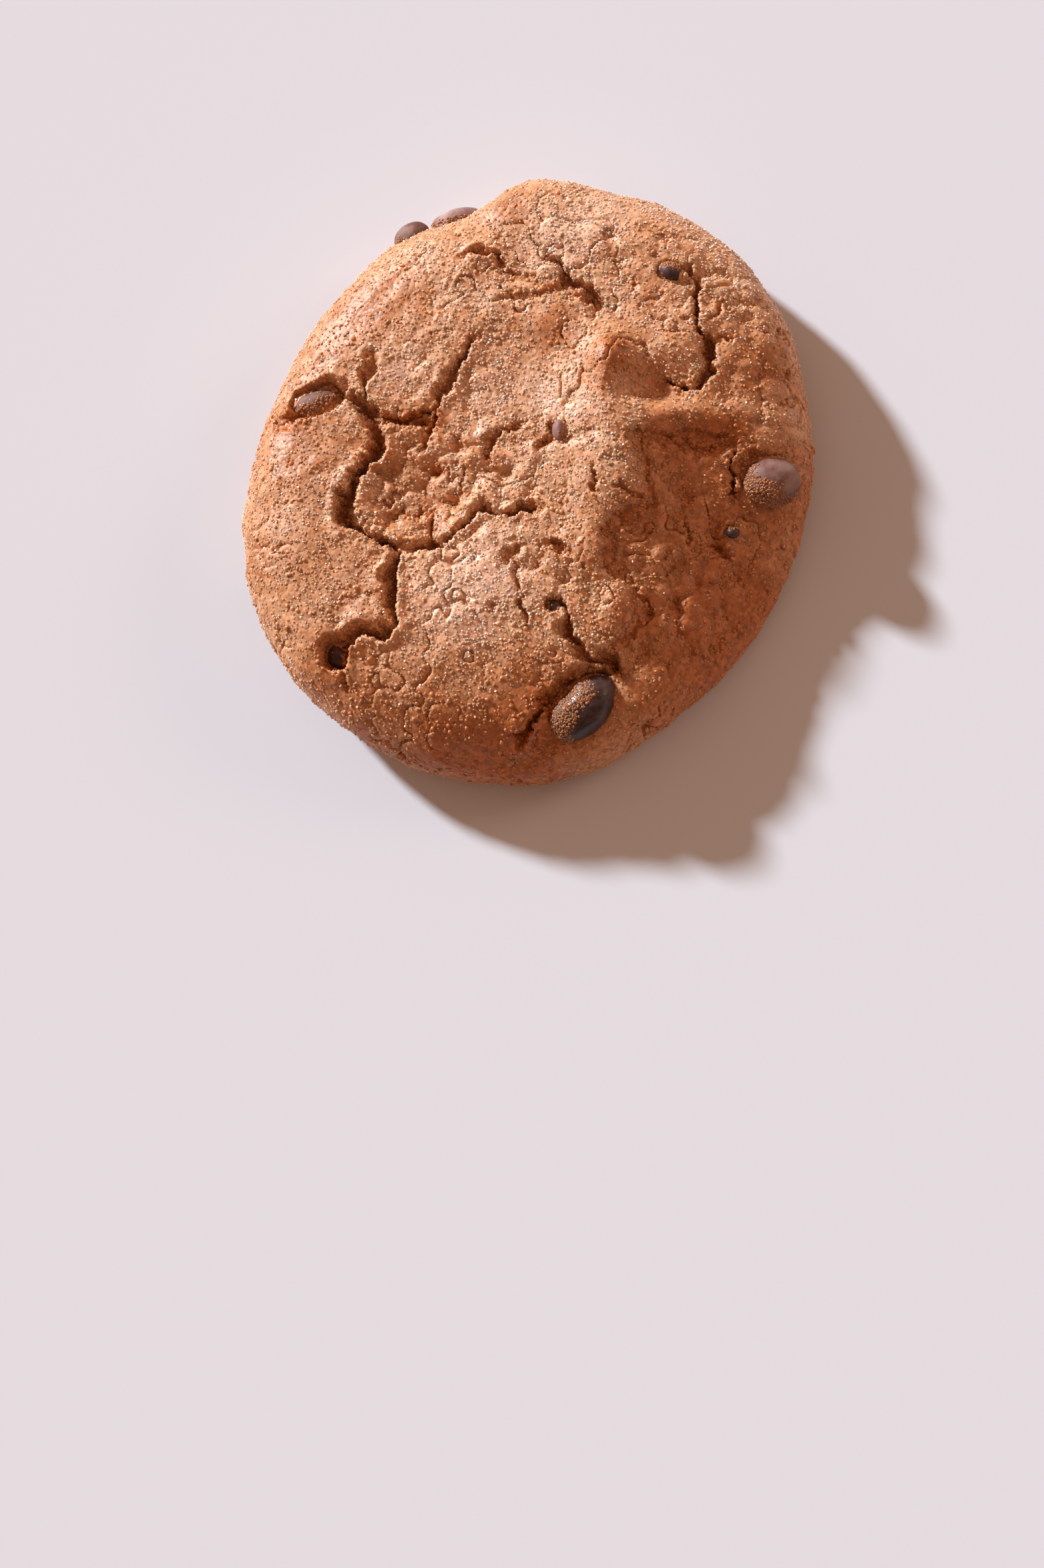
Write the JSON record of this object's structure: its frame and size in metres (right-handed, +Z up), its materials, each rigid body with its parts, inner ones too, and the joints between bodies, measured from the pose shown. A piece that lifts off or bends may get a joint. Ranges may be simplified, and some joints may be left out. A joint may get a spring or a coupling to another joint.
{
  "type": "chocolate chip cookie",
  "caption": "Thick round chocolate chip cookie lying flat, its face torn by cracks and ridges, with chocolate chips set in the dough.",
  "frame": {"origin": "centre of the bounding box at the underside, on the surface that the cookie lies on", "axes": "+Z up through the cracked face; +X to the right and +Y away from a viewer who looks down on the face as the picture shows it"},
  "size_m": [0.066, 0.071, 0.0152],
  "materials": {
    "baked_dough": "matte",
    "chocolate": "satin"
  },
  "bodies": {
    "root": {"cookie_dough": "baked_dough", "chip_front": "chocolate", "chip_right": "chocolate", "chip_back_right": "chocolate", "chip_left_hollow": "chocolate", "chip_left_crack": "chocolate", "chip_centre": "chocolate", "chip_front_speck": "chocolate", "chip_right_speck": "chocolate", "chip_rim_back": "chocolate", "chip_rim_long": "chocolate", "chip_side_left": "chocolate", "chip_side_back": "chocolate"}
  },
  "joints": []
}
